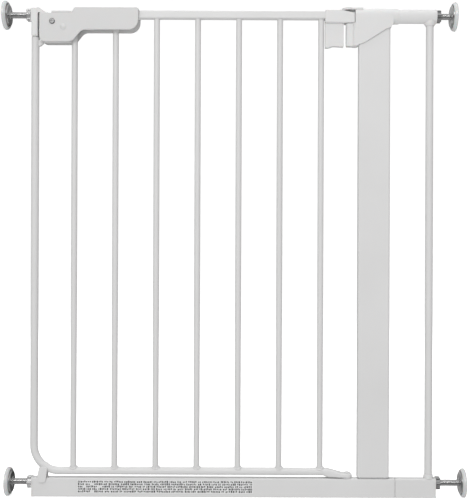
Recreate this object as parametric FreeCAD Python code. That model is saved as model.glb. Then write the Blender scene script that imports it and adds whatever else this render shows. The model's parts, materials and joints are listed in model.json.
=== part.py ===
import FreeCAD, Part
import math
import os

# Pressure-fit safety gate, millimetres.  X runs along the gate, -Y is the room side that the
# gate opens to, +Z is up.  The origin is on the floor, midway between the two walls.

V = FreeCAD.Vector
AXIS_X = V(1, 0, 0)
AXIS_Y = V(0, 1, 0)
AXIS_Z = V(0, 0, 1)

# ---- overall sizes ----
frame_width = 634.0          # bottom rail, end cap to end cap
top_axis_z = 756.0           # height of the top tube and the top spindles
extension_width = 64.4       # the add-on section at the right

# ---- fits ----
running_gap = 0.08           # radial, a pin or spindle in its hole
slip_gap = 0.3               # loose fit between mouldings and tubes
seat_gap = 0.1               # between a turning nut and its seat

# ---- fixed frame ----
rail_height = 30.0
rail_depth = 15.0
rail_wall = 1.5
rail_corner = 2.2
cap_thickness = 2.5
cap_lip = 0.4
top_end_inset = 1.0          # top cap's face to the end of the bottom rail
plug_length = 12.0
upright_width = 50.0
upright_depth = 15.0
upright_offset = 15.5        # hinge axis to the upright's near side
foot_spacer_height = 2.2
foot_spacer_inset = 3.0
seam_gap = 0.8               # between the main and the add-on rail
joiner_length = 40.0
top_tube_d = 22.0
top_tube_wall = 1.6
sleeve_length = 9.0
sleeve_wall = 1.1
extension_upright_d = 12.0
extension_upright_inset = 11.0
small_tube_wall = 1.4
saddle_height = 4.0
saddle_flare = 3.2
base_collar_height = 6.2
base_collar_r = 7.8
base_collar_round = 0.7
low_spindle_gap = 0.9        # low spindles to the rail's upper wall
post_d = 10.0
post_y = 12.5
post_shift = 2.6             # outboard of the free-side tube, and below its bend
post_foot_width = 8.0
post_foot_bottom = 8.0
label_offset = 72.0
label_length = 276.0
label_height = 21.0
label_bottom = 6.0
label_thickness = 0.3

# ---- swinging gate ----
gate_tube_d = 12.0
gate_tube_gap = 3.8          # under the gate's bottom tube
gate_tube_inset = 2.5        # free-side tube axis inside the rail's end
bend_r = 40.0
bar_d = 9.4
bar_count = 7
first_bar_offset = 61.9      # free-side tube to the first bar
last_bar_offset = 42.9       # last bar to the hinge axis
weld_gap = 0.05
gate_rail_height = 12.0
gate_rail_depth = 15.0
gate_rail_wall = 1.2
gate_rail_rise = 1.0         # gate rail axis above the top tube's axis
hinge_offset = 74.6          # hinge axis to the end of the main frame
tab_width = 12.6
tab_thickness = 3.2
tab_clearance = 0.4
tab_bottom_z = 29.5

# ---- hinges ----
hinge_pin_r = 3.0
eye_r = 9.5
eye_gap = 0.6                # between the turning eye and the fixed bracket
eye_drop = 4.8               # slope of the eye's upper face
barrel_reach = 4.2           # hinge axis to the bracket's rounded nose
barrel_half = 6.2
bracket_wall = 1.2
bracket_drop = 47.5          # bracket's lowest edge below the top axis
collar_wall = 2.0
collar_floor = 6.5           # moulding under the gate's rail
collar_length = 24.0
collar_offset = 12.9         # hinge axis to the collar's near face
hinge_plate_half = 5.0
hinge_plate_gap = 7.7        # hinge axis to the plate's edge
hinge_plate_drop = 50.0
arm_thickness = 3.2
arm_r = 10.5
knob_length = 11.0
lug_length = 30.0
lug_entry = 8.0              # the tube flattens over this length
lug_width = 16.0
lug_thickness = 7.0
lug_round = 3.8
lug_washer = 1.2

# ---- tension spindles ----
spindle_d = 9.8
nut_thickness = 7.0
nut_r = 8.2
nut_lobe_r = 2.2
nut_lobes = 6
nut_round = 1.0
cup_r = 22.6
cup_depth = 6.0
cup_recess = 3.5
cup_rim = 5.0
foot_height = 8.0
spindle_engage = 34.0
top_left_engage = 7.0        # the strike block is shallow
reach_top_left = 42.5        # nut seat to wall
reach_low_left = 39.7
reach_top_right = 31.0
reach_low_right = 46.0

# ---- lock lever ----
lever_half = 14.0            # half the lever's depth
lever_wall = 2.5
pivot_offset = 29.0          # free-side tube axis to the lever's pivot
pivot_drop = 12.2
lever_left_gap = 2.9         # free-side tube's surface to the lever
lever_reach = 134.5          # pivot to the handle's end
lever_top_rise = 10.0        # handle top above the top axis
lever_shoulder = 1.7         # body top above the top axis
handle_depth = 35.0
body_drop = 44.0             # body's lower edge below the top axis
step_x = 32.0                # pivot to the step up to the handle
pivot_pin_r = 2.5
pivot_boss_r = 7.5
plate_half = 3.0
hook_half = 3.5
hook_reach = 26.5            # pivot to the hook's nose
hook_height = 9.0
hook_drop = 18.3             # pivot to the nose's lower edge
lift_angle = 20.0
stop_x = 17.2
stop_z = -8.6
stop_pin_r = 2.5
button_r = 5.0               # domed cover over the stop pin
button_height = 1.8
catch_length = 31.0
catch_height = 2.4
catch_travel = 4.5
catch_stem_half = 3.4
catch_groove = 1.2
screw_r = 1.6
spring_leg = 13.0

# ---- worked out from the sizes above ----
frame_left = -frame_width / 2
frame_right = frame_width / 2
main_right = frame_right - extension_width
top_end_x = frame_right - top_end_inset
hinge_x = main_right - hinge_offset
upright_x = hinge_x + upright_offset
gate_tube_x = frame_left + gate_tube_inset
gate_tube_r = gate_tube_d / 2
gate_tube_z = rail_height + gate_tube_gap + gate_tube_r
bend_x = gate_tube_x + bend_r
bend_z = gate_tube_z + bend_r
top_tube_r = top_tube_d / 2
bracket_r = top_tube_r + bracket_wall
gate_rail_z = top_axis_z + gate_rail_rise
gate_rail_top = gate_rail_z + gate_rail_height / 2
gate_rail_bottom = gate_rail_z - gate_rail_height / 2
extension_x = frame_right - extension_upright_inset
pivot_x = gate_tube_x + pivot_offset
pivot_z = top_axis_z - pivot_drop
lever_left = gate_tube_x + gate_tube_r + lever_left_gap
lever_right = pivot_x + lever_reach
shoulder_z = top_axis_z + lever_shoulder
handle_top = top_axis_z + lever_top_rise
handle_bottom = handle_top - handle_depth
body_bottom = top_axis_z - body_drop
gate_tube_top = body_bottom + 9.0
strike_left = gate_tube_x - 6.0
strike_right = gate_tube_x + gate_tube_r - slip_gap
strike_front = -10.0
spindle_r = spindle_d / 2
spindle_hole_r = spindle_r + running_gap
low_spindle_z = rail_height - rail_wall - low_spindle_gap - spindle_r
bracket_top = top_axis_z + bracket_r
arm_bottom = bracket_top - arm_thickness
eye_top = arm_bottom - eye_gap
eye_bottom = gate_rail_bottom - collar_floor
step_left = pivot_x + step_x - 2.2
post_x = gate_tube_x - post_shift
cup_recess_r = cup_r - cup_rim

os.makedirs("parts", exist_ok=True)


# ---- helpers ----
def box(x0, x1, y0, y1, z0, z1):
    return Part.makeBox(x1 - x0, y1 - y0, z1 - z0, V(x0, y0, z0))


def rod_x(x0, x1, y, z, r):
    return Part.makeCylinder(r, x1 - x0, V(x0, y, z), AXIS_X)


def rod_y(x, z, y0, y1, r):
    return Part.makeCylinder(r, y1 - y0, V(x, y0, z), AXIS_Y)


def rod_z(x, y, z0, z1, r):
    return Part.makeCylinder(r, z1 - z0, V(x, y, z0), AXIS_Z)


def rounded_wire(corners, place):
    """Closed outline of lines and tangent arcs; corners are (u, v, radius)."""
    points = [V(u, v, 0) for u, v, _ in corners]
    edges = []
    starts = []
    ends = []
    for i, corner in enumerate(points):
        r = corners[i][2]
        before = points[i - 1] - corner
        after = points[(i + 1) % len(points)] - corner
        before.normalize()
        after.normalize()
        if r == 0:
            starts.append(corner)
            ends.append(corner)
            edges.append(None)
            continue
        half = before.getAngle(after) / 2
        run = r / math.tan(half)
        middle = before + after
        middle.normalize()
        crown = corner + middle * (r / math.sin(half) - r)
        starts.append(corner + before * run)
        ends.append(corner + after * run)
        edges.append(Part.Arc(place(starts[i]), place(crown), place(ends[i])).toShape())
    outline = []
    for i in range(len(points)):
        following = (i + 1) % len(points)
        if edges[i] is not None:
            outline.append(edges[i])
        if ends[i].distanceToPoint(starts[following]) > 1e-6:
            outline.append(Part.LineSegment(place(ends[i]), place(starts[following])).toShape())
    return Part.Wire(outline)


def plate_xz(corners, y0, y1):
    wire = rounded_wire(corners, lambda p: V(p.x, y0, p.y))
    return Part.Face(wire).extrude(V(0, y1 - y0, 0))


def prism_x(corners, x0, x1):
    wire = rounded_wire(corners, lambda p: V(x0, p.x, p.y))
    return Part.Face(wire).extrude(V(x1 - x0, 0, 0))


def plate_xy(corners, z0, z1):
    wire = rounded_wire(corners, lambda p: V(p.x, p.y, z0))
    return Part.Face(wire).extrude(V(0, 0, z1 - z0))


def rect(a0, a1, b0, b1, r):
    return [(a0, b0, r), (a1, b0, r), (a1, b1, r), (a0, b1, r)]


def box_tube_x(x0, x1, z, height, depth, wall, corner):
    inner = max(corner - wall, 0.4)
    outside = prism_x(rect(-depth / 2, depth / 2, z - height / 2, z + height / 2, corner), x0, x1)
    inside = rect(wall - depth / 2, depth / 2 - wall, z - height / 2 + wall, z + height / 2 - wall, inner)
    return outside.cut(prism_x(inside, x0, x1))


def save(name, shape):
    solids = shape.Solids
    shape = solids[0] if len(solids) == 1 else Part.makeCompound(solids)
    if not solids or not shape.isValid():
        raise ValueError("bad shape: " + name)
    shape.exportStep("parts/" + name + ".step")


# ---- fixed frame ----
def bottom_rail():
    x0 = frame_left + cap_thickness
    rail = box_tube_x(x0, main_right, rail_height / 2, rail_height, rail_depth, rail_wall, rail_corner)
    pin_hole = rod_z(hinge_x, 0, rail_height - 2 * rail_wall, rail_height + 1, hinge_pin_r)
    return rail.cut(pin_hole)


def extension_rail():
    x0 = main_right + seam_gap
    x1 = frame_right - cap_thickness
    return box_tube_x(x0, x1, rail_height / 2, rail_height, rail_depth, rail_wall, rail_corner)


def rail_joiner():
    gap = rail_wall + slip_gap
    x0 = main_right - joiner_length / 2
    section = rect(gap - rail_depth / 2, rail_depth / 2 - gap, rail_wall, rail_height - gap, 0.8)
    hollow = 2 * rail_wall + slip_gap
    inside = rect(hollow - rail_depth / 2, rail_depth / 2 - hollow, 2 * rail_wall, rail_height - hollow, 0.5)
    return prism_x(section, x0, x0 + joiner_length).cut(prism_x(inside, x0, x0 + joiner_length))


def rail_cap(side):
    """End cap at the rail's left (-1) or right (+1) end, with a plug that grips inside the tube."""
    edge = side * frame_width / 2
    inner = edge - side * cap_thickness
    plug_end = inner - side * plug_length
    flange_section = rect(-rail_depth / 2 - cap_lip, rail_depth / 2 + cap_lip, 0, rail_height + cap_lip, 2.4)
    flange = prism_x(flange_section, min(edge, inner), max(edge, inner))
    gap = rail_wall + seat_gap
    plug_section = rect(gap - rail_depth / 2, rail_depth / 2 - gap, gap, rail_height - gap, 1.0)
    plug = prism_x(plug_section, min(inner, plug_end), max(inner, plug_end))
    hole = rod_x(min(edge, plug_end) - 1, max(edge, plug_end) + 1, 0, low_spindle_z, spindle_hole_r)
    return flange.fuse(plug).cut(hole)


def wide_upright():
    z0 = rail_height + foot_spacer_height
    z1 = top_axis_z - top_tube_r
    half = upright_depth / 2
    outside = box(upright_x, upright_x + upright_width, -half, half, z0, z1)
    outside = outside.makeFillet(3.0, [e for e in outside.Edges if e.BoundBox.ZLength > 100])
    w = rail_wall
    inside = box(upright_x + w, upright_x + upright_width - w, w - half, half - w, z0 - 1, z1 + 1)
    return outside.cut(inside)


def upright_spacer():
    inset = foot_spacer_inset
    half = upright_depth / 2 - inset
    x0 = upright_x + inset
    x1 = upright_x + upright_width - inset
    return box(x0, x1, -half, half, rail_height, rail_height + foot_spacer_height)


def top_tube():
    x0 = upright_x + 12.0
    x1 = frame_right - cap_thickness
    hollow = rod_x(x0 - 1, x1 + 1, 0, top_axis_z, top_tube_r - top_tube_wall)
    return rod_x(x0, x1, 0, top_axis_z, top_tube_r).cut(hollow)


def top_sleeve():
    """Slightly bulged ferrule where the top tube leaves the hinge bracket."""
    x0 = upright_x + upright_width + 4.0
    ring = rod_x(x0, x0 + sleeve_length, 0, top_axis_z, top_tube_r + sleeve_wall)
    ring = ring.makeFillet(0.5 * sleeve_wall, [e for e in ring.Edges if len(e.Vertexes) == 1])
    return ring.cut(rod_x(x0 - 1, x0 + sleeve_length + 1, 0, top_axis_z, top_tube_r))


def top_tube_cap():
    edge = top_end_x
    inner = frame_right - cap_thickness
    flange = rod_x(inner, edge, 0, top_axis_z, top_tube_r + cap_lip)
    plug = rod_x(inner - plug_length, inner, 0, top_axis_z, top_tube_r - top_tube_wall - seat_gap)
    hole = rod_x(inner - plug_length - 1, edge + 1, 0, top_axis_z, spindle_hole_r)
    return flange.fuse(plug).cut(hole)


def extension_upright():
    z1 = top_axis_z - top_tube_r - 1.0
    hollow = rod_z(extension_x, 0, rail_height - 1, z1 + 1, extension_upright_d / 2 - small_tube_wall)
    return rod_z(extension_x, 0, rail_height, z1, extension_upright_d / 2).cut(hollow)


def base_collar():
    r = extension_upright_d / 2
    cone = Part.makeCone(base_collar_r, r + 1.2, base_collar_height, V(extension_x, 0, rail_height))
    top_edge = [e for e in cone.Edges if len(e.Vertexes) == 1 and e.BoundBox.ZMin > rail_height + 1]
    cone = cone.makeFillet(base_collar_round, top_edge)
    return cone.cut(rod_z(extension_x, 0, rail_height - 1, rail_height + base_collar_height + 1, r))


def top_saddle():
    """Moulded saddle that joins the thin upright to the underside of the top tube."""
    r = extension_upright_d / 2
    flare_r = r + saddle_flare
    z0 = top_axis_z - top_tube_r - saddle_height
    body = Part.makeCone(r + 1.0, flare_r, saddle_height, V(extension_x, 0, z0))
    body = body.fuse(rod_z(extension_x, 0, z0 + saddle_height, top_axis_z - 4.0, flare_r))
    body = body.cut(rod_x(extension_x - 20, extension_x + 20, 0, top_axis_z, top_tube_r))
    cap_face = frame_right - cap_thickness - seat_gap
    body = body.cut(box(cap_face, cap_face + 10, -20, 20, z0 - 1, top_axis_z))
    return body.cut(rod_z(extension_x, 0, z0 - 1, top_axis_z - top_tube_r - 1.0, r))


def front_wall(reach):
    """The part of the bracket's front face that the turning eye's square corner passes behind."""
    return box(hinge_x, hinge_x + reach + 1, -bracket_r - 1, -eye_r - eye_gap, eye_bottom - 5, bracket_top)


def hinge_bracket():
    """Fixed moulding over the top of the wide upright, with the hinge's nose and upper arm."""
    nose_x = hinge_x - barrel_reach
    x1 = upright_x + upright_width + 4.0
    low = top_axis_z - bracket_drop
    outline = [(nose_x, low, 2), (hinge_x + 13, low, 3), (hinge_x + 17, low + 2.5, 4),
               (hinge_x + 24, low + 4.5, 8), (x1 - 11, low + 26.5, 8), (x1 - 3, low + 29, 2),
               (x1, low + 35, 3), (x1, bracket_top, 0), (nose_x, bracket_top, 0)]
    skirt = upright_depth / 2 + 2.0
    belly_z = top_axis_z - 4
    round_top = bracket_r - 0.2
    profile = [(-skirt, low - 1, 0), (skirt, low - 1, 0), (bracket_r, belly_z, 4),
               (bracket_r, bracket_top, round_top), (-bracket_r, bracket_top, round_top),
               (-bracket_r, belly_z, 4)]
    shoulder_x = hinge_x + hinge_plate_half + 0.8
    face_x = hinge_x + eye_r
    plan = [(nose_x, barrel_half, 4), (nose_x, -barrel_half, 4), (shoulder_x, -barrel_half - 0.8, 3),
            (face_x, -bracket_r, 4), (x1 + 1, -bracket_r, 0), (x1 + 1, bracket_r, 0), (face_x, bracket_r, 4),
            (shoulder_x, barrel_half + 0.8, 3)]
    body = plate_xz(outline, -bracket_r, bracket_r)
    body = body.common(prism_x(profile, nose_x - 1, x1 + 1)).common(plate_xy(plan, low - 1, bracket_top + 1))
    eye_room = eye_r + eye_gap
    swept_r = eye_r * math.sqrt(2) + eye_gap
    body = body.cut(rod_z(hinge_x, 0, eye_bottom - eye_gap, arm_bottom, swept_r).cut(front_wall(swept_r)))
    body = body.cut(box(nose_x - 1, hinge_x + eye_room, -bracket_r - 1, 0, eye_bottom - eye_gap, arm_bottom))
    body = body.cut(box(nose_x - 1, hinge_x + 2, -bracket_r, bracket_r, arm_bottom - 1, bracket_top + 1))
    arm = rod_z(hinge_x, 0, arm_bottom, bracket_top, arm_r)
    arm = arm.fuse(box(hinge_x, face_x + 12, -9, 9, arm_bottom, bracket_top))
    knob_x = face_x + 2
    knob = box(knob_x, knob_x + knob_length, -8.5, 8.5, arm_bottom, bracket_top + 0.6)
    knob = knob.makeFillet(1.5, [e for e in knob.Edges if e.BoundBox.ZMin > arm_bottom + 1])
    bracket = body.fuse([arm, knob])
    half = upright_depth / 2 + seat_gap
    room = box(upright_x - seat_gap, upright_x + upright_width + seat_gap, -half, half, low - 1,
               top_axis_z - top_tube_r)
    bracket = bracket.cut(room)
    bracket = bracket.cut(rod_x(upright_x + 11.5, x1 + 1, 0, top_axis_z, top_tube_r))
    return bracket.cut(rod_z(hinge_x, 0, low - 1, top_axis_z + 20, hinge_pin_r))


def top_hinge_pin():
    pin_bottom = top_axis_z - bracket_drop + 2
    pin_top = bracket_top + 0.6
    return rod_z(hinge_x, 0, pin_bottom, pin_top, hinge_pin_r)


def bottom_hinge_pin():
    lug_top = rail_height + lug_washer + lug_thickness
    pin = rod_z(hinge_x, 0, rail_height - 8, lug_top + 0.4, hinge_pin_r)
    return pin.fuse(Part.makeCone(4.8, 3.8, 0.9, V(hinge_x, 0, lug_top + 0.4)))


def bottom_hinge_washer():
    washer = rod_z(hinge_x, 0, rail_height, rail_height + lug_washer - seat_gap, 7.0)
    return washer.cut(rod_z(hinge_x, 0, rail_height - 1, rail_height + 5, hinge_pin_r))


def rail_label():
    x0 = frame_left + label_offset
    y1 = -rail_depth / 2
    corners = rect(x0, x0 + label_length, label_bottom, label_bottom + label_height, 1.5)
    return plate_xz(corners, y1 - label_thickness, y1)


def post_route():
    """Centre line of the latch post: down behind the gate's tube and round its bend."""
    turn = math.radians(52)
    corner = V(bend_x - post_shift, post_y, bend_z - post_shift)
    arc_start = V(post_x, post_y, corner.z)
    arc_middle = corner + V(-bend_r * math.cos(turn / 2), 0, -bend_r * math.sin(turn / 2))
    arc_end = corner + V(-bend_r * math.cos(turn), 0, -bend_r * math.sin(turn))
    top = V(post_x, post_y, gate_tube_top + 4.0)
    return top, arc_start, arc_middle, arc_end


def latch_post():
    top, arc_start, arc_middle, arc_end = post_route()
    line = Part.LineSegment(top, arc_start).toShape()
    arc = Part.Arc(arc_start, arc_middle, arc_end).toShape()
    path = Part.Wire([line, arc])
    ring = Part.Wire([Part.makeCircle(post_d / 2, top, AXIS_Z)])
    return path.makePipeShell([ring], True, True)


def latch_post_foot():
    """Flat strap that carries the latch post on the rail's rear face."""
    end = post_route()[3]
    x0 = end.x - 1.0
    y0 = rail_depth / 2
    strap = box(x0, x0 + post_foot_width, y0, y0 + 5.0, post_foot_bottom, end.z + 4.0)
    post = latch_post()
    return strap.cut(post)


def strike_bracket():
    """Block on top of the latch post: it carries the top spindle and takes the lever's hook."""
    z0 = gate_tube_top + 1.0
    z1 = top_axis_z + 10.5
    back = post_y + post_d / 2
    leg_z = top_axis_z - top_tube_r
    outline = [(strike_left + 1.5, z0, 1), (strike_right, z0, 1), (strike_right, z1, 2),
               (strike_left, z1, 3), (strike_left, leg_z, 1), (strike_left + 1.5, leg_z - 1, 0)]
    body = plate_xz(outline, strike_front, back)
    front = [e for e in body.Edges if e.BoundBox.YMax < strike_front + 0.01 and e.BoundBox.ZLength > 20]
    body = body.makeFillet(2.2, front)
    lip_z = shoulder_z + 0.8
    lip_end = lever_left + 9
    lip_outline = [(strike_right - 2, lip_z, 0), (lip_end, lip_z, 0), (lip_end, lip_z + 0.8, 0),
                   (strike_right + 2, z1, 4), (strike_right - 2, z1, 0)]
    lip = plate_xz(lip_outline, strike_front + 0.5, 9.0)
    body = body.fuse(lip)
    half = hook_half + 1.0
    nose_low = pivot_z - hook_drop - 5.0
    nose_high = pivot_z - hook_drop + hook_height + 1.2
    pocket = box(strike_right - 5.5, strike_right + 1, -half, half, nose_low, nose_high)
    body = body.cut(pocket)
    body = body.cut(rod_x(strike_left - 1, strike_right - 1.2, 0, top_axis_z, spindle_hole_r))
    post = rod_z(post_x, post_y, z0 - 1, gate_tube_top + 4.0, post_d / 2)
    return body.cut(post)


# ---- tension spindles, nuts, feet and wall cups ----
def corner_places():
    """name, side, height, nut seat, reach to the wall, spindle length behind the seat."""
    return [("top_left", -1, top_axis_z, strike_left, reach_top_left, top_left_engage),
            ("low_left", -1, low_spindle_z, frame_left, reach_low_left, spindle_engage),
            ("top_right", 1, top_axis_z, top_end_x, reach_top_right, spindle_engage),
            ("low_right", 1, low_spindle_z, frame_right, reach_low_right, spindle_engage)]


def turned(profile, side, wall_x, z):
    """Turned piece from (distance from the wall, radius) points, about the spindle's axis."""
    points = [V(wall_x - side * d, 0, z + r) for d, r in profile]
    wire = Part.makePolygon(points + [points[0]])
    return Part.Face(wire).revolve(V(wall_x, 0, z), AXIS_X, 360)


def wall_cup(side, wall_x, z):
    base = cup_depth - cup_recess
    profile = [(0, 0), (0, cup_r - 1), (1, cup_r), (cup_depth - 2, cup_r - 0.6), (cup_depth, cup_r - 2.4),
               (cup_depth, cup_recess_r + 1), (cup_depth - 1, cup_recess_r), (base, cup_recess_r), (base, 0)]
    return turned(profile, side, wall_x, z)


def foot_disc(side, wall_x, z):
    start = cup_depth - cup_recess
    r = cup_recess_r - slip_gap
    hub = spindle_r + 2.2
    end = start + foot_height
    profile = [(start, 0), (start, r), (start + 4.5, r), (start + 6, r - 1.6), (end - 1, hub + 1),
               (end, hub), (end, spindle_r), (start + 3, spindle_r), (start + 3, 0)]
    return turned(profile, side, wall_x, z)


def spindle(side, wall_x, seat_x, engage, z):
    start = wall_x - side * (cup_depth - cup_recess + 3)
    end = seat_x - side * engage
    rod = rod_x(min(start, end), max(start, end), 0, z, spindle_r)
    tip = [e for e in rod.Edges if len(e.Vertexes) == 1 and abs(e.BoundBox.Center.x - end) < 0.1]
    return rod.makeChamfer(0.8, tip)


def tension_nut(side, seat_x, z):
    inner = seat_x + side * seat_gap
    outer = inner + side * nut_thickness
    x0 = min(inner, outer)
    x1 = max(inner, outer)
    nut = rod_x(x0, x1, 0, z, nut_r)
    for i in range(nut_lobes):
        angle = 2 * math.pi * i / nut_lobes
        nut = nut.fuse(rod_x(x0, x1, nut_r * math.cos(angle), z + nut_r * math.sin(angle), nut_lobe_r))
    nut = nut.removeSplitter()
    nut = nut.makeFillet(nut_round, [e for e in nut.Edges if abs(e.BoundBox.Center.x - outer) < 0.01])
    return nut.cut(rod_x(x0 - 5, x1 + 5, 0, z, spindle_hole_r))


# ---- swinging gate ----
def tube_route(top_z, far_x):
    """Centre line of the bent tube, from the free side's top round the bend to the hinge side."""
    top = V(gate_tube_x, 0, top_z)
    arc_start = V(gate_tube_x, 0, bend_z)
    share = bend_r * math.sin(math.pi / 4)
    arc_middle = V(bend_x - share, 0, bend_z - share)
    arc_end = V(bend_x, 0, gate_tube_z)
    upright_line = Part.LineSegment(top, arc_start).toShape()
    bend = Part.Arc(arc_start, arc_middle, arc_end).toShape()
    low_line = Part.LineSegment(arc_end, V(far_x, 0, gate_tube_z)).toShape()
    return Part.Wire([upright_line, bend, low_line])


def along_tube(top_z, far_x, r):
    ring = Part.Wire([Part.makeCircle(r, V(gate_tube_x, 0, top_z), AXIS_Z)])
    return tube_route(top_z, far_x).makePipeShell([ring], True, True)


def gate_tube():
    far_x = hinge_x - lug_width / 2 - lug_length
    inner = along_tube(gate_tube_top, far_x, gate_tube_r - small_tube_wall)
    return along_tube(gate_tube_top, far_x, gate_tube_r).cut(inner)


def gate_tube_cap():
    dome = rod_z(gate_tube_x, 0, gate_tube_top, gate_tube_top + 0.7, gate_tube_r)
    plug = rod_z(gate_tube_x, 0, gate_tube_top - 8, gate_tube_top, gate_tube_r - small_tube_wall - weld_gap)
    return dome.fuse(plug)


def hinge_lug():
    """Flattened end of the bottom tube, drilled for the lower hinge pin."""
    half = lug_width / 2
    x0 = hinge_x - half - lug_length
    x1 = x0 + lug_entry
    x2 = x0 + lug_length
    z0 = rail_height + lug_washer
    z1 = z0 + lug_thickness
    tube_top = gate_tube_z + gate_tube_r
    round_end = Part.Wire([Part.makeCircle(gate_tube_r, V(x0, 0, gate_tube_z), AXIS_X)])
    squeezed = rounded_wire(rect(-half + 1, half - 1, z0, tube_top - 1, 4.5), lambda p: V(x1, p.x, p.y))
    flat_corners = rect(-half, half, z0, z1, 2.6)
    flat_end = rounded_wire(flat_corners, lambda p: V(x2, p.x, p.y))
    entry = Part.makeLoft([round_end, squeezed], True, True)
    neck = Part.makeLoft([squeezed, flat_end], True, True)
    strap = prism_x(flat_corners, x2, hinge_x)
    tip = rod_z(hinge_x, 0, z0, z1, half)
    rims = [e for e in tip.Edges if len(e.Vertexes) == 1]
    tip = tip.makeFillet(lug_round, [e for e in rims if e.BoundBox.ZMin > z1 - 1])
    tip = tip.makeFillet(1.5, [e for e in tip.Edges if len(e.Vertexes) == 1 and e.BoundBox.ZMax < z0 + 0.1])
    lug = entry.fuse([neck, strap, tip])
    return lug.cut(rod_z(hinge_x, 0, z0 - 1, z1 + 1, hinge_pin_r + running_gap))


def bar_places():
    first = gate_tube_x + first_bar_offset
    last = hinge_x - last_bar_offset
    return [first + i * (last - first) / (bar_count - 1) for i in range(bar_count)]


def gate_bar(x, top):
    bar = rod_z(x, 0, gate_tube_z, top, bar_d / 2)
    cope = rod_x(x - bar_d, x + bar_d, 0, gate_tube_z, gate_tube_r + weld_gap)
    bar = bar.cut(cope)
    return max(bar.Solids, key=lambda s: s.CenterOfMass.z)


def first_bar_top():
    return gate_rail_bottom - 12.0


def gate_rail():
    x0 = bar_places()[0] + 6.0
    x1 = hinge_x - collar_offset - 3.0
    return box_tube_x(x0, x1, gate_rail_z, gate_rail_height, gate_rail_depth, gate_rail_wall, 2.0)


def is_upright(edge, x, y):
    middle = edge.BoundBox.Center
    return edge.BoundBox.ZLength > 1 and abs(middle.x - x) < 0.01 and abs(middle.y - y) < 0.01


def gate_hinge_block():
    """Moulding on the rail's hinge end: collar, hinge eye and the flat plate that hangs below."""
    x1 = hinge_x - collar_offset
    x0 = x1 - collar_length
    half_y = gate_rail_depth / 2 + collar_wall
    z1 = gate_rail_top + collar_wall
    collar = prism_x(rect(-half_y, half_y, eye_bottom, z1, 2.5), x0, x1)
    eye = rod_z(hinge_x, 0, eye_bottom, eye_top, eye_r)
    bridge = box(x1 - 1, hinge_x, -half_y, half_y, eye_bottom, eye_top)
    corner = box(hinge_x - 1, hinge_x + eye_r, -half_y, 0, eye_bottom, eye_top)
    corner = corner.makeFillet(1.5, [e for e in corner.Edges if is_upright(e, hinge_x + eye_r, -half_y)])
    eye = eye.fuse([bridge, corner]).removeSplitter()
    rim = [e for e in eye.Edges if e.BoundBox.ZMax < eye_bottom + 0.1 and e.BoundBox.XMax > x1]
    eye = eye.makeFillet(1.4, rim)
    end_x = hinge_x + eye_r + 1
    above = [(x1, eye_top, 0), (end_x, eye_top - eye_drop, 0), (end_x, eye_top + 1, 0), (x1, eye_top + 1, 0)]
    eye = eye.cut(plate_xz(above, -half_y - 1, half_y + 1))
    low = top_axis_z - hinge_plate_drop
    right = hinge_x - hinge_plate_gap
    outline = [(x0, low, 1), (x0 + 5, low, 4), (x0 + 13, low + 2.6, 6), (right, low + 1.4, 1),
               (right, eye_bottom + 1, 0), (x0, eye_bottom + 1, 0)]
    plate = plate_xz(outline, -hinge_plate_half, hinge_plate_half)
    block = collar.fuse([eye, plate])
    g = seat_gap
    rail_half = gate_rail_depth / 2 + g
    rail_section = rect(-rail_half, rail_half, gate_rail_bottom - g, gate_rail_top + g, 2.0)
    block = block.cut(prism_x(rail_section, x0 - 1, x1 - 3.0 + g))
    return block.cut(rod_z(hinge_x, 0, eye_bottom - 1, eye_top + 1, hinge_pin_r + running_gap))


def stop_tab():
    """Tongue under the bend that meets the front of the rail, so the gate opens one way only."""
    y0 = -rail_depth / 2 - tab_clearance - tab_thickness
    y1 = -rail_depth / 2 - tab_clearance
    half = tab_width / 2
    top_x = bend_x - bend_r * math.cos(math.radians(55))
    top_z = gate_tube_z + 6.0
    low_x = top_x - 3.0
    tongue = [(low_x - half, tab_bottom_z - half, 5.5), (low_x + half, tab_bottom_z - half, 5.5),
              (top_x + half, top_z, 2), (top_x - half, top_z + 2, 2)]
    blade = plate_xz(tongue, y0, y1)
    root_z = rail_height + 2.5
    root = [(low_x - half, root_z, 0), (low_x + half, root_z, 0), (top_x + half, top_z, 2),
            (top_x - half, top_z + 2, 2)]
    return blade.fuse(plate_xz(root, y0, 0)).cut(along_tube(bend_z + 20, bend_x + 20, gate_tube_r))


# ---- lock ----
def turn_about_pivot(shape, angle):
    """Copy of a shape turned about the lever's pivot, positive lifting the handle."""
    copy = shape.copy()
    copy.rotate(V(pivot_x, 0, pivot_z), V(0, -1, 0), angle)
    return copy


def lock_plate():
    """Steel plate inside the lever that ties the free-side tube, first bar and top rail together."""
    first = bar_places()[0]
    low = body_bottom + 1.0
    tube_side = gate_tube_x + gate_tube_r - 0.6
    corner_x = pivot_x - 1.0
    flange_z = handle_bottom + 3.0
    outline = [(tube_side, low + 3.2, 0), (tube_side, low - 6, 0), (tube_side + 3.5, low - 5, 1),
               (tube_side + 9, low, 3), (first, low, 0), (first, flange_z, 0), (first + 30, flange_z, 2),
               (first + 30, gate_rail_bottom, 0), (first - 4, gate_rail_bottom, 1),
               (first - 13, pivot_z + 2, 1), (corner_x, pivot_z + 2, 0), (corner_x, low + 3.2, 1)]
    plate = plate_xz(outline, -plate_half, plate_half)
    plate = plate.fuse(rod_y(pivot_x, pivot_z, -plate_half, plate_half, pivot_boss_r))
    plate = plate.cut(rod_z(first, 0, low - 10, first_bar_top() + weld_gap, bar_d / 2 + weld_gap))
    plate = plate.cut(rod_z(gate_tube_x, 0, low - 20, low + 20, gate_tube_r))
    plate = plate.cut(rod_y(pivot_x, pivot_z, -10, 10, pivot_pin_r + running_gap))
    room = stop_pin_r + slip_gap
    steps = 10
    for i in range(steps + 1):
        pin = rod_y(pivot_x + stop_x, pivot_z + stop_z, -10, 10, room)
        plate = plate.cut(turn_about_pivot(pin, lift_angle * i / steps))
    return plate


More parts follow.
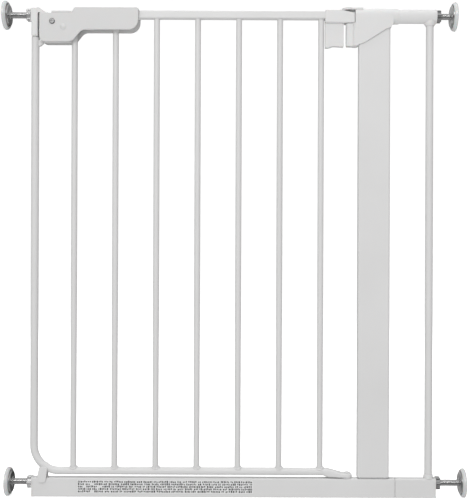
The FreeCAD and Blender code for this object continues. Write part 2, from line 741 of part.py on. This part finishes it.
def lever_outline():
    edge = pivot_x + step_x
    return [(lever_left, body_bottom, 9), (edge - 1, body_bottom, 16), (edge + 14, handle_bottom, 14),
            (lever_right, handle_bottom, 16), (lever_right, handle_top, 3), (edge + 2.5, handle_top, 4),
            (step_left, shoulder_z, 0), (lever_left, shoulder_z, 3)]


def lever_room():
    """The lever's hollow, open below and at the handle's end where the gate's rail runs out."""
    w = lever_wall
    edge = pivot_x + step_x
    return [(lever_left + w, body_bottom - 20, 0), (lever_right + 20, body_bottom - 20, 0),
            (lever_right + 20, handle_top - w, 0), (edge + 2.5 + w, handle_top - w, 2),
            (step_left + w, shoulder_z - w, 0), (lever_left + w, shoulder_z - w, 2)]


def hook_screw_place():
    return pivot_x - 11.6, pivot_z - 10.0


def lever_shell(side):
    """Front (-1) or rear (+1) half of the lever, parted on the gate's middle plane."""
    y_out = side * lever_half
    shell = plate_xz(lever_outline(), min(0, y_out), max(0, y_out))
    rim = [e for e in shell.Edges if abs(e.BoundBox.Center.y - y_out) < 0.01 and e.BoundBox.YLength < 0.02]
    shell = shell.makeFillet(1.2, rim)
    y_in = side * (lever_half - lever_wall)
    shell = shell.cut(plate_xz(lever_room(), min(0, y_in), max(0, y_in)))
    y_plate = side * (plate_half + slip_gap)
    y_hook = side * hook_half
    hx, hz = hook_screw_place()
    pivot_boss = rod_y(pivot_x, pivot_z, min(y_plate, y_in), max(y_plate, y_in), pivot_boss_r - 1.5)
    stop_boss = rod_y(pivot_x + stop_x, pivot_z + stop_z, min(y_plate, y_in), max(y_plate, y_in), 4.5)
    hook_boss = rod_y(hx, hz, min(y_hook, y_in), max(y_hook, y_in), 4.0)
    shell = shell.fuse([pivot_boss, stop_boss, hook_boss])
    shell = shell.cut(rod_y(pivot_x, pivot_z, -30, 30, pivot_pin_r))
    slot = hook_half + 0.6
    slot_end = lever_left + lever_wall + 0.5
    shell = shell.cut(box(lever_left - 1, slot_end, -slot, slot, body_bottom - 1, pivot_z - 2))
    stem = catch_stem_half + slip_gap
    stem_x = catch_stem_place()
    stem_left = stem_x - catch_travel - 1
    stem_room = box(stem_left, stem_x + 8 + slip_gap, -stem, stem, shoulder_z - 4, shoulder_z + 1)
    catch_left = step_left - slip_gap - catch_length
    groove = box(catch_left - catch_travel - slip_gap, catch_left, -lever_half - 1, lever_half + 1,
                 shoulder_z - catch_groove, shoulder_z + 1)
    shell = shell.cut(stem_room).cut(groove)
    if side > 0:
        shell = shell.cut(rod_y(hx, hz, -1, 30, screw_r))
        shell = shell.cut(rod_y(pivot_x + stop_x, pivot_z + stop_z, -1, y_in, stop_pin_r))
    else:
        shell = shell.cut(rod_y(hx, hz, y_in, 0, screw_r))
        shell = shell.cut(rod_y(pivot_x + stop_x, pivot_z + stop_z, y_in, 0, stop_pin_r))
        ball_r = (button_r ** 2 + button_height ** 2) / (2 * button_height)
        ball = Part.makeSphere(ball_r, V(pivot_x + stop_x, y_out - button_height + ball_r, pivot_z + stop_z))
        button = rod_y(pivot_x + stop_x, pivot_z + stop_z, y_out - button_height - 1, y_out, button_r + 1)
        shell = shell.fuse(ball.common(button))
    return shell


def lever_hook():
    nose = pivot_x - hook_reach
    low = pivot_z - hook_drop
    body_left = lever_left + lever_wall + slip_gap
    body_right = pivot_x - 9.5
    high = low + hook_height
    top = pivot_z - 4
    outline = [(nose, low, 1.5), (body_right, low, 2), (body_right, top, 2), (body_left, top, 1),
               (body_left, high, 0), (nose, high, 1.5)]
    hx, hz = hook_screw_place()
    return plate_xz(outline, -hook_half, hook_half).cut(rod_y(hx, hz, -10, 10, screw_r))


def cross_recess(x, z, y, size):
    a = box(x - size, x + size, y - 2, y + 1.2, z - 0.6, z + 0.6)
    b = box(x - 0.6, x + 0.6, y - 2, y + 1.2, z - size, z + size)
    return a.fuse(b)


def pivot_screw():
    head = Part.makeCone(3.4, 4.5, 1.0, V(pivot_x, -lever_half - 1.6, pivot_z), AXIS_Y)
    head = head.fuse(rod_y(pivot_x, pivot_z, -lever_half - 0.6, -lever_half, 4.5))
    shank = rod_y(pivot_x, pivot_z, -lever_half, lever_half, pivot_pin_r)
    return head.fuse(shank).cut(cross_recess(pivot_x, pivot_z, -lever_half - 1.6, 2.6))


def pivot_nut():
    """Domed nut on the back of the pivot screw."""
    nut = Part.makeCone(5.0, 3.6, 2.2, V(pivot_x, lever_half, pivot_z), AXIS_Y)
    return nut


def stop_pin():
    y = lever_half - lever_wall
    return rod_y(pivot_x + stop_x, pivot_z + stop_z, -y, y, stop_pin_r)


def hook_screw():
    hx, hz = hook_screw_place()
    shank = rod_y(hx, hz, 0.5 - lever_half + lever_wall, lever_half, screw_r)
    head = Part.makeCone(3.0, 2.2, 1.4, V(hx, lever_half, hz), AXIS_Y)
    slot = box(hx - 2, hx + 2, lever_half + 0.7, lever_half + 3, hz - 0.4, hz + 0.4)
    return shank.fuse(head).cut(slot)


def lever_spring():
    """Hairpin spring over the lever's front pivot boss, one leg beside the hook's boss."""
    wire_r = 0.6
    r = pivot_boss_r - 1.5 + wire_r + 0.15
    y = -plate_half - 2.4
    left_end = V(pivot_x - r, y, pivot_z - spring_leg)
    left_top = V(pivot_x - r, y, pivot_z)
    crown = V(pivot_x, y, pivot_z + r)
    right_top = V(pivot_x + r, y, pivot_z)
    right_end = V(pivot_x + r, y, pivot_z - spring_leg)
    left = Part.LineSegment(left_end, left_top).toShape()
    over = Part.Arc(left_top, crown, right_top).toShape()
    right = Part.LineSegment(right_top, right_end).toShape()
    section = Part.Wire([Part.makeCircle(wire_r, left_end, AXIS_Z)])
    return Part.Wire([left, over, right]).makePipeShell([section], True, True)


def catch_stem_place():
    """Near side of the thumb catch's stem."""
    return pivot_x + 10.5


def thumb_catch():
    x1 = step_left - slip_gap
    x0 = x1 - catch_length
    z0 = shoulder_z + 0.15
    z1 = z0 + catch_height
    pad_outline = [(x0, z0, 0), (x1, z0, 0), (x1, z1, 0.8), (x0, z1, 1.5)]
    pad = plate_xz(pad_outline, 0.6 - lever_half, lever_half - 0.6)
    for i in range(4):
        x = x0 + 6.0 + 4.0 * i
        pad = pad.cut(rod_y(x, z1 + 0.9, 1.5 - lever_half, lever_half - 1.5, 1.3))
    h = catch_stem_half
    stem_x = catch_stem_place()
    stem = box(stem_x, stem_x + 8, -h, h, shoulder_z - lever_wall - 1.0, z0)
    inside = shoulder_z - lever_wall - slip_gap
    foot = box(stem_x - 1.0, stem_x + 9, -h - 2.5, h + 2.5, inside - 1.9, inside)
    return pad.fuse([stem, foot])


def bench_list():
    """Every node's name and shape."""
    nodes = {}
    nodes["bottom_rail"] = bottom_rail()
    nodes["extension_bottom_rail"] = extension_rail()
    nodes["rail_joiner"] = rail_joiner()
    nodes["rail_end_cap_left"] = rail_cap(-1)
    nodes["rail_end_cap_right"] = rail_cap(1)
    nodes["wide_upright"] = wide_upright()
    nodes["upright_spacer"] = upright_spacer()
    nodes["top_tube"] = top_tube()
    nodes["top_tube_sleeve"] = top_sleeve()
    nodes["top_tube_cap"] = top_tube_cap()
    nodes["extension_upright"] = extension_upright()
    nodes["extension_base_collar"] = base_collar()
    nodes["extension_top_saddle"] = top_saddle()
    nodes["hinge_bracket"] = hinge_bracket()
    nodes["top_hinge_pin"] = top_hinge_pin()
    nodes["bottom_hinge_pin"] = bottom_hinge_pin()
    nodes["bottom_hinge_washer"] = bottom_hinge_washer()
    nodes["rail_label"] = rail_label()
    nodes["latch_post"] = latch_post()
    nodes["latch_post_foot"] = latch_post_foot()
    nodes["strike_bracket"] = strike_bracket()
    for name, side, z, seat_x, reach, engage in corner_places():
        wall_x = seat_x + side * reach
        nodes["wall_cup_" + name] = wall_cup(side, wall_x, z)
        nodes["foot_disc_" + name] = foot_disc(side, wall_x, z)
        nodes["spindle_" + name] = spindle(side, wall_x, seat_x, engage, z)
        nodes["tension_nut_" + name] = tension_nut(side, seat_x, z)
    nodes["gate_tube"] = gate_tube()
    nodes["gate_tube_cap"] = gate_tube_cap()
    nodes["gate_hinge_lug"] = hinge_lug()
    nodes["gate_top_rail"] = gate_rail()
    nodes["gate_hinge_block"] = gate_hinge_block()
    nodes["gate_stop_tab"] = stop_tab()
    nodes["lock_plate"] = lock_plate()
    for i, x in enumerate(bar_places()):
        top = first_bar_top() if i == 0 else gate_rail_bottom
        nodes["gate_bar_" + str(i + 1)] = gate_bar(x, top)
    nodes["lever_front_shell"] = lever_shell(-1)
    nodes["lever_rear_shell"] = lever_shell(1)
    nodes["lever_hook"] = lever_hook()
    nodes["lever_pivot_screw"] = pivot_screw()
    nodes["lever_pivot_nut"] = pivot_nut()
    nodes["lever_stop_pin"] = stop_pin()
    nodes["lever_hook_screw"] = hook_screw()
    nodes["lever_return_spring"] = lever_spring()
    nodes["thumb_catch"] = thumb_catch()
    return nodes


for node_name, node_shape in bench_list().items():
    save(node_name, node_shape)
print("nodes written")
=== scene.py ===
import json
import math
import random

import bpy
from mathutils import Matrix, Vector


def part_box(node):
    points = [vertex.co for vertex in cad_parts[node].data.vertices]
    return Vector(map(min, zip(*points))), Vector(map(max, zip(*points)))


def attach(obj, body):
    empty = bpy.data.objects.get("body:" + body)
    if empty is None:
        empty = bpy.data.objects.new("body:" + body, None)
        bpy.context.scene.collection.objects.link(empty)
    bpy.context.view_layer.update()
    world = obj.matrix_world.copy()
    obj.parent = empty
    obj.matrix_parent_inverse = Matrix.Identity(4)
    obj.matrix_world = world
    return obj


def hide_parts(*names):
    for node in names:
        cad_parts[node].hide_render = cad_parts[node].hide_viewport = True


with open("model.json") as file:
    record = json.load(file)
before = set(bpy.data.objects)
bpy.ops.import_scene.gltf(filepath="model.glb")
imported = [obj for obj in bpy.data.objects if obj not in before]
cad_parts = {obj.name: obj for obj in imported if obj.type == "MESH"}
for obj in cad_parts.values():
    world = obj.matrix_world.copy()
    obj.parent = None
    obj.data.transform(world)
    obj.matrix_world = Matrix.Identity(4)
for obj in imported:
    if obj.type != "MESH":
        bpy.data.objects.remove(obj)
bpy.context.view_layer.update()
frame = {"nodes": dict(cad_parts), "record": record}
SEED = 7
random.seed(SEED)

MM = 0.001
CORNERS = ("top_left", "low_left", "top_right", "low_right")
BARS = sorted(name for name in frame["nodes"] if name.startswith("gate_bar_"))

# ---- thread on the spindles ----
THREAD_PITCH = 1.5 * MM
THREAD_DEPTH = 0.5 * MM
THREAD_SLICES = 6            # rings of points for each turn
THREAD_SIDES = 22
THREAD_SLOPE = 5.5           # steepness of the flanks
THREAD_LIFT = 2.5            # flank height before it is cut off flat at the crest

# ---- weld beads ----
BEAD_SIDES = 8
BEAD_STEPS = 28
RIPPLES = 5                  # ripples round one bead
RIPPLE_DEPTH = 0.12
RIPPLE_SCATTER = 0.05
FOOT_SPREAD = 0.3 * MM       # foot bead outside the bar
FOOT_RISE = 0.2 * MM
FOOT_BEAD = 1.15             # foot bead's radius, mm
FOOT_POOL = 0.75             # extra radius where the weld pooled, mm
HEAD_SPREAD = 0.1 * MM
HEAD_BEAD = 0.75             # head bead's radius, mm

# ---- print on the label ----
PRINT_ROWS = 5
PRINT_STANDOFF = 0.05 * MM
PRINT_MARGIN = 1.5 * MM
PRINT_LAST_WORD = 3 * MM     # no word starts nearer to the label's end
FIRST_COLUMN = 0.165         # share of the label where lines may break off
BREAK_CHANCE = 0.35

# ---- surround: (direction, brightness) from straight down or left to straight up or right ----
LIT_BY_HEIGHT = ((-0.9, 0.86), (-0.5, 0.72), (-0.10, 0.06), (0.10, 0.10), (0.5, 0.42), (0.9, 0.55))
MIRRORED_BY_HEIGHT = ((-0.9, 0.30), (-0.5, 0.14), (-0.10, 0.04), (0.10, 0.10), (0.5, 0.42), (0.9, 0.55))
LIT_BY_SIDE = ((-0.7, 0.10), (-0.25, 0.34), (0.05, 0.0), (0.4, 0.0), (0.9, 0.16))

# ---- studio bowl and camera ----
BOWL_SIDES = 72
SWEEP_STEPS = 16
FLOOR_R = 5.0
SWEEP_R = 1.8
WALL_TOP = 6.0
FLOOR_DROP = 0.2 * MM        # floor below the object's feet
BOWL_GLOW = 0.52
SENSOR_WIDTH = 36.0
LENS = 64.8
CAMERA_PLACE = (0.042, -1.417, 0.388)
CAMERA_SHIFT = -0.0534
CAMERA_ROLL = math.radians(-0.22)


# ---- places read from the frame ----
def low(node):
    return Vector(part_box(node)[0])


def high(node):
    return Vector(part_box(node)[1])


def centre(node):
    return (low(node) + high(node)) / 2


# ---- materials ----
class Nodes:
    """Short way to add and link shader nodes in one material."""

    def __init__(self, name):
        self.material = bpy.data.materials.new(name)
        self.material.use_nodes = True
        self.tree = self.material.node_tree
        self.shader = self.tree.nodes["Principled BSDF"]
        coords = self.tree.nodes.new("ShaderNodeTexCoord")
        self.place = coords.outputs["Object"]

    def add(self, kind):
        return self.tree.nodes.new("ShaderNode" + kind)

    def link(self, start, end):
        self.tree.links.new(start, end)

    def noise(self, scale, detail=3.0, roughness=0.5, place=None):
        node = self.add("TexNoise")
        node.inputs["Scale"].default_value = scale
        node.inputs["Detail"].default_value = detail
        node.inputs["Roughness"].default_value = roughness
        self.link(place or self.place, node.inputs["Vector"])
        return node.outputs["Fac"]

    def ramp(self, source, stops):
        node = self.add("ValToRGB")
        elements = node.color_ramp.elements
        while len(elements) < len(stops):
            elements.new(0.5)
        for element, (position, colour) in zip(elements, stops):
            element.position = position
            element.color = (*colour, 1.0)
        self.link(source, node.inputs["Fac"])
        return node.outputs["Color"]

    def spread(self, source, smallest, largest):
        node = self.add("MapRange")
        node.inputs["To Min"].default_value = smallest
        node.inputs["To Max"].default_value = largest
        self.link(source, node.inputs["Value"])
        return node.outputs["Result"]

    def bump(self, height, strength, distance, before=None):
        node = self.add("Bump")
        node.inputs["Strength"].default_value = strength
        node.inputs["Distance"].default_value = distance
        self.link(height, node.inputs["Height"])
        if before is not None:
            self.link(before, node.inputs["Normal"])
        return node.outputs["Normal"]

    def soft_edges(self, radius):
        """Normals rounded over sharp edges by this radius."""
        node = self.add("Bevel")
        node.samples = 6
        node.inputs["Radius"].default_value = radius
        return node.outputs["Normal"]


def grey(value, warmth=0.0):
    """Linear grey, a little warm above 0 and a little cool below."""
    return (value * (1 + warmth), value, value * (1 - warmth))


def powder_coat():
    """White powder coat: fine orange peel, faint cloudiness, a few specks in the gloss."""
    m = Nodes("white_powder_coat")
    cloud = m.noise(9.0, 4.0)
    peel = m.noise(900.0, 2.0)
    speck = m.noise(2600.0, 1.0)
    m.link(m.ramp(cloud, [(0.25, grey(0.665, 0.004)), (0.75, grey(0.70, 0.002))]),
           m.shader.inputs["Base Color"])
    m.link(m.spread(speck, 0.36, 0.50), m.shader.inputs["Roughness"])
    soft = m.bump(peel, 0.10, 0.0002, m.soft_edges(0.0004))
    m.link(m.bump(speck, 0.05, 0.0001, soft), m.shader.inputs["Normal"])
    m.shader.inputs["Specular IOR Level"].default_value = 0.3
    return m.material


def moulded_plastic(name, shade, grain=1800.0):
    """Injection-moulded white plastic: spark-eroded grain and slight flow marks."""
    m = Nodes(name)
    flow = m.noise(14.0, 5.0, 0.6)
    pits = m.noise(grain, 2.0, 0.6)
    m.link(m.ramp(flow, [(0.2, grey(shade * 0.98, 0.004)), (0.8, grey(shade * 1.015, 0.003))]),
           m.shader.inputs["Base Color"])
    m.link(m.spread(pits, 0.42, 0.58), m.shader.inputs["Roughness"])
    m.link(m.bump(pits, 0.12, 0.00015, m.soft_edges(0.0005)), m.shader.inputs["Normal"])
    m.shader.inputs["Specular IOR Level"].default_value = 0.35
    m.shader.inputs["Subsurface Weight"].default_value = 0.04
    m.shader.inputs["Subsurface Scale"].default_value = 0.002
    return m.material


def zinc_plate(name, shade, smoothest, roughest):
    """Zinc plate: fine drawn lines that vary the polish, and a cloudy passivation bloom."""
    m = Nodes(name)
    stretch = m.add("Mapping")
    stretch.inputs["Scale"].default_value = (3.0, 40.0, 40.0)
    m.link(m.place, stretch.inputs["Vector"])
    bloom = m.noise(55.0, 4.0)
    lines = m.noise(30.0, 3.0, 0.6, stretch.outputs["Vector"])
    m.link(m.ramp(bloom, [(0.3, grey(shade * 0.86, -0.006)), (0.7, grey(shade * 1.12, 0.004))]),
           m.shader.inputs["Base Color"])
    m.shader.inputs["Metallic"].default_value = 1.0
    m.link(m.spread(lines, smoothest, roughest), m.shader.inputs["Roughness"])
    m.link(m.bump(lines, 0.05, 0.0001), m.shader.inputs["Normal"])
    return m.material


def cup_plastic():
    """Milky grey cup moulding that lets a little light through."""
    m = Nodes("milky_cup_plastic")
    flow = m.noise(25.0, 3.0)
    pits = m.noise(1500.0, 2.0)
    m.link(m.ramp(flow, [(0.25, (0.56, 0.57, 0.57)), (0.75, (0.64, 0.65, 0.65))]),
           m.shader.inputs["Base Color"])
    m.link(m.spread(pits, 0.28, 0.40), m.shader.inputs["Roughness"])
    m.link(m.bump(pits, 0.08, 0.0001), m.shader.inputs["Normal"])
    m.shader.inputs["Subsurface Weight"].default_value = 0.15
    m.shader.inputs["Subsurface Scale"].default_value = 0.003
    m.shader.inputs["Coat Weight"].default_value = 0.3
    return m.material


def label_film():
    """Satin printed film, a little greyer than the rail it is stuck to."""
    m = Nodes("label_film")
    fibre = m.noise(1200.0, 2.0)
    m.link(m.ramp(fibre, [(0.3, grey(0.74)), (0.7, grey(0.78))]), m.shader.inputs["Base Color"])
    m.link(m.spread(fibre, 0.30, 0.42), m.shader.inputs["Roughness"])
    m.link(m.bump(fibre, 0.05, 0.0001), m.shader.inputs["Normal"])
    return m.material


def label_ink():
    """Matt black ink that covers slightly unevenly."""
    m = Nodes("label_ink")
    spread = m.noise(700.0, 3.0)
    m.link(m.ramp(spread, [(0.3, grey(0.015)), (0.7, grey(0.035))]), m.shader.inputs["Base Color"])
    m.link(m.spread(spread, 0.5, 0.65), m.shader.inputs["Roughness"])
    return m.material


PAINT = powder_coat()
PLASTIC = moulded_plastic("white_moulding", 0.70)
CASE = moulded_plastic("lever_moulding", 0.63, 1500.0)
CATCH = moulded_plastic("catch_moulding", 0.66, 1300.0)
ZINC = zinc_plate("bright_zinc", 0.62, 0.12, 0.26)
SCREW_ZINC = zinc_plate("screw_zinc", 0.30, 0.30, 0.45)
CUP = cup_plastic()
FILM = label_film()
INK = label_ink()
BY_SLOT = {"powder_coat": PAINT, "white_plastic": PLASTIC, "catch_plastic": CATCH, "zinc_plate": ZINC,
           "cup_plastic": CUP, "label": FILM}


def dress_frame():
    """Gives every CAD node that stays its procedural material."""
    slot_of = {part["node"]: part["material_slot"] for part in frame["record"]["subparts"]}
    for name, obj in frame["nodes"].items():
        material = BY_SLOT[slot_of[name]]
        if "screw" in name:
            material = SCREW_ZINC
        elif name.startswith("lever_") and material is PLASTIC:
            material = CASE
        if not obj.material_slots:
            obj.data.materials.append(material)
        for slot in obj.material_slots:
            slot.material = material


# ---- small mesh pieces ----
def new_piece(name, vertices, faces, material, body, smooth=True):
    mesh = bpy.data.meshes.new(name)
    mesh.from_pydata(vertices, [], faces)
    mesh.update()
    obj = bpy.data.objects.new(name, mesh)
    bpy.context.scene.collection.objects.link(obj)
    mesh.materials.append(material)
    for face in mesh.polygons:
        face.use_smooth = smooth
    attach(obj, body)
    return obj


def threaded_rod(corner):
    """Rolled metric thread in place of the plain spindle, as wide and as long as it."""
    node = "spindle_" + corner
    start, end = low(node), high(node)
    axis = centre(node)
    crest = (end.z - start.z) / 2
    root = crest - THREAD_DEPTH
    around = THREAD_SIDES
    rings = int((end.x - start.x) / THREAD_PITCH * THREAD_SLICES)
    vertices = []
    for i in range(rings + 1):
        x = start.x + (end.x - start.x) * i / rings
        tip = min(x - start.x, end.x - x)
        for k in range(around):
            phase = (x / THREAD_PITCH - k / around) % 1.0
            height = min(1.0, max(0.0, THREAD_LIFT - abs(phase - 0.5) * THREAD_SLOPE))
            r = min(root + (crest - root) * height, root + tip)
            turn = 2 * math.pi * k / around
            vertices.append((x, axis.y + r * math.cos(turn), axis.z + r * math.sin(turn)))
    faces = []
    for i in range(rings):
        for k in range(around):
            follow = (k + 1) % around
            here, beyond = i * around, (i + 1) * around
            faces.append((here + k, beyond + k, beyond + follow, here + follow))
    faces.append(tuple(range(around)))
    faces.append(tuple(rings * around + k for k in reversed(range(around))))
    rod = new_piece("thread_" + corner, vertices, faces, ZINC, node)
    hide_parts(node)


def ring_bead(name, ring, body):
    """Weld bead round a bar; ring gives centre, outward direction and radius at each step."""
    around = BEAD_SIDES
    vertices = []
    for place, outward, r in ring:
        for k in range(around):
            turn = 2 * math.pi * k / around
            offset = outward * (r * math.cos(turn)) + Vector((0, 0, r * math.sin(turn)))
            vertices.append(tuple(place + offset))
    faces = []
    count = len(ring)
    for i in range(count):
        follow = (i + 1) % count
        for k in range(around):
            other = (k + 1) % around
            faces.append((i * around + k, follow * around + k, follow * around + other, i * around + other))
    return new_piece(name, vertices, faces, PAINT, body)


def bar_welds():
    """Beads where each bar meets the bottom tube, and where it meets the top rail."""
    tube_low, tube_high = low("gate_tube"), high("gate_tube")
    tube_r = (tube_high.y - tube_low.y) / 2
    tube_z = tube_low.z + tube_r
    rail_low = low("gate_top_rail")
    for name in BARS:
        bar = centre(name)
        bar_r = (high(name).x - low(name).x) / 2
        foot, head = [], []
        for i in range(BEAD_STEPS):
            turn = 2 * math.pi * i / BEAD_STEPS
            outward = Vector((math.cos(turn), math.sin(turn), 0))
            scatter = random.uniform(-RIPPLE_SCATTER, RIPPLE_SCATTER)
            ripple = 1 + RIPPLE_DEPTH * math.sin(RIPPLES * turn) + scatter
            place = bar + outward * (bar_r + FOOT_SPREAD)
            place.z = tube_z + math.sqrt(max(tube_r ** 2 - place.y ** 2, 0.0)) + FOOT_RISE
            pool = FOOT_BEAD + FOOT_POOL * max(0.0, math.cos(turn))
            foot.append((place, outward, pool * ripple * MM))
            place = bar + outward * (bar_r + HEAD_SPREAD)
            place.z = rail_low.z
            head.append((place, outward, HEAD_BEAD * ripple * MM))
        ring_bead("weld_foot_" + name, foot, "gate")
        if high(name).z > rail_low.z - MM:
            ring_bead("weld_head_" + name, head, "gate")


def label_print():
    """Rows of short printed strokes on the rail's label; they form no letters."""
    start, end = low("rail_label"), high("rail_label")
    y = start.y - PRINT_STANDOFF
    row_height = (end.z - start.z - 2 * MM) / PRINT_ROWS
    column = start.x + FIRST_COLUMN * (end.x - start.x)
    vertices, faces = [], []
    for row in range(PRINT_ROWS):
        base = end.z - MM - (row + 0.86) * row_height
        x = start.x + PRINT_MARGIN
        while x < end.x - PRINT_LAST_WORD:
            for i in range(random.randint(2, 8)):
                width = random.uniform(1.1, 2.1) * MM
                height = random.uniform(0.55, 0.85) * row_height
                if x + width > end.x - PRINT_MARGIN:
                    break
                lift = random.choice((0.0, 0.0, 0.15)) * row_height
                bottom, top = base + lift, base + height
                first = len(vertices)
                vertices.extend([(x, y, bottom), (x + width, y, bottom), (x + width, y, top), (x, y, top)])
                faces.append((first, first + 1, first + 2, first + 3))
                x += width + random.uniform(0.7, 1.2) * MM
            x += random.uniform(1.0, 2.0) * MM
            if x < column and random.random() < BREAK_CHANCE:
                x += random.uniform(3.0, 9.0) * MM
    new_piece("label_print", vertices, faces, INK, "frame", smooth=False)


# ---- stage, camera, light ----
def stage():
    """Round studio bowl: a flat floor that sweeps up to a wall on every side."""
    around = BOWL_SIDES
    profile = []
    for i in range(SWEEP_STEPS + 1):
        turn = math.pi / 2 * i / SWEEP_STEPS
        profile.append((FLOOR_R + SWEEP_R * math.sin(turn), SWEEP_R * (1 - math.cos(turn))))
    profile.append((FLOOR_R + SWEEP_R, WALL_TOP))
    vertices = [(0.0, 0.0, -FLOOR_DROP)]
    for r, z in profile:
        for k in range(around):
            turn = 2 * math.pi * k / around
            vertices.append((r * math.cos(turn), r * math.sin(turn), z - FLOOR_DROP))
    faces = [(0, 1 + k, 1 + (k + 1) % around) for k in range(around)]
    for i in range(len(profile) - 1):
        for k in range(around):
            a, b = 1 + i * around + k, 1 + i * around + (k + 1) % around
            faces.append((a, a + around, b + around, b))
    mesh = bpy.data.meshes.new("backdrop")
    mesh.from_pydata(vertices, [], faces)
    obj = bpy.data.objects.new("backdrop", mesh)
    bpy.context.scene.collection.objects.link(obj)
    for face in mesh.polygons:
        face.use_smooth = True
    m = Nodes("studio_paper")
    tone = m.noise(3.0, 2.0)
    m.link(m.ramp(tone, [(0.3, grey(0.93)), (0.7, grey(0.95))]), m.shader.inputs["Base Color"])
    m.shader.inputs["Roughness"].default_value = 0.9
    m.shader.inputs["Emission Color"].default_value = (1.0, 1.0, 1.0, 1.0)
    m.shader.inputs["Emission Strength"].default_value = BOWL_GLOW
    mesh.materials.append(m.material)
    obj.visible_diffuse = False
    obj.visible_glossy = False
    obj.visible_shadow = False


def aim(obj, target):
    """Turns a light so that it shines at the target."""
    direction = Vector(target) - obj.location
    obj.rotation_euler = direction.to_track_quat("-Z", "Y").to_euler()


def area_light(name, place, target, size, power, reflects=True):
    """Soft panel, its size in metres and power in watts; reflects says if gloss shows it."""
    data = bpy.data.lights.new(name, "AREA")
    data.shape = "RECTANGLE"
    data.size, data.size_y = size
    data.energy = power
    obj = bpy.data.objects.new(name, data)
    obj.location = place
    obj.visible_glossy = reflects
    bpy.context.scene.collection.objects.link(obj)
    aim(obj, target)


def studio_world():
    """Soft surround: bright below, softer above, dim at eye height, darker below in reflections."""
    world = bpy.context.scene.world or bpy.data.worlds.new("studio")
    bpy.context.scene.world = world
    world.use_nodes = True
    tree = world.node_tree
    coords = tree.nodes.new("ShaderNodeTexCoord")
    split = tree.nodes.new("ShaderNodeSeparateXYZ")
    tree.links.new(coords.outputs["Generated"], split.inputs["Vector"])
    parts = []
    for axis, stops in (("Z", LIT_BY_HEIGHT), ("Z", MIRRORED_BY_HEIGHT), ("X", LIT_BY_SIDE)):
        share = tree.nodes.new("ShaderNodeMapRange")
        share.inputs["From Min"].default_value = -1.0
        ramp = tree.nodes.new("ShaderNodeValToRGB")
        while len(ramp.color_ramp.elements) < len(stops):
            ramp.color_ramp.elements.new(0.5)
        for element, (position, value) in zip(ramp.color_ramp.elements, stops):
            element.position = (position + 1) / 2
            element.color = (value, value, value, 1.0)
        tree.links.new(split.outputs[axis], share.inputs["Value"])
        tree.links.new(share.outputs["Result"], ramp.inputs["Fac"])
        parts.append(ramp.outputs["Color"])
    lit, mirrored, side = parts
    path = tree.nodes.new("ShaderNodeLightPath")
    seen = tree.nodes.new("ShaderNodeMix")
    seen.data_type = "RGBA"
    tree.links.new(path.outputs["Is Glossy Ray"], seen.inputs["Factor"])
    tree.links.new(lit, seen.inputs["A"])
    tree.links.new(mirrored, seen.inputs["B"])
    total = tree.nodes.new("ShaderNodeMix")
    total.data_type = "RGBA"
    total.blend_type = "ADD"
    total.inputs["Factor"].default_value = 1.0
    tree.links.new(seen.outputs["Result"], total.inputs["A"])
    tree.links.new(side, total.inputs["B"])
    tree.links.new(total.outputs["Result"], tree.nodes["Background"].inputs["Color"])


def lights():
    middle = (0.0, 0.0, 0.45)
    area_light("key", (-0.3, -2.6, 1.9), middle, (1.2, 1.2), 31.0)
    area_light("low_fill", (0.1, -2.4, 0.15), (0.1, 0.0, 0.1), (1.6, 0.8), 10.0, reflects=False)
    area_light("rear_fill", (-0.5, 2.6, 1.7), middle, (1.6, 1.2), 13.0, reflects=False)
    area_light("overhead", (0.0, 0.0, 3.2), (0.0, 0.0, 0.0), (2.4, 1.6), 32.0, reflects=False)


def camera():
    """Level view from the room side, square to the gate, with a slight roll."""
    data = bpy.data.cameras.new("camera")
    data.sensor_width = SENSOR_WIDTH
    data.lens = LENS
    data.shift_x = CAMERA_SHIFT
    obj = bpy.data.objects.new("camera", data)
    obj.location = CAMERA_PLACE
    obj.rotation_euler = (math.pi / 2, CAMERA_ROLL, 0.0)
    bpy.context.scene.collection.objects.link(obj)
    bpy.context.scene.camera = obj


camera()
studio_world()
lights()
stage()
dress_frame()
for corner in CORNERS:
    threaded_rod(corner)
bar_welds()
label_print()
bpy.context.scene.view_settings.view_transform = "Standard"
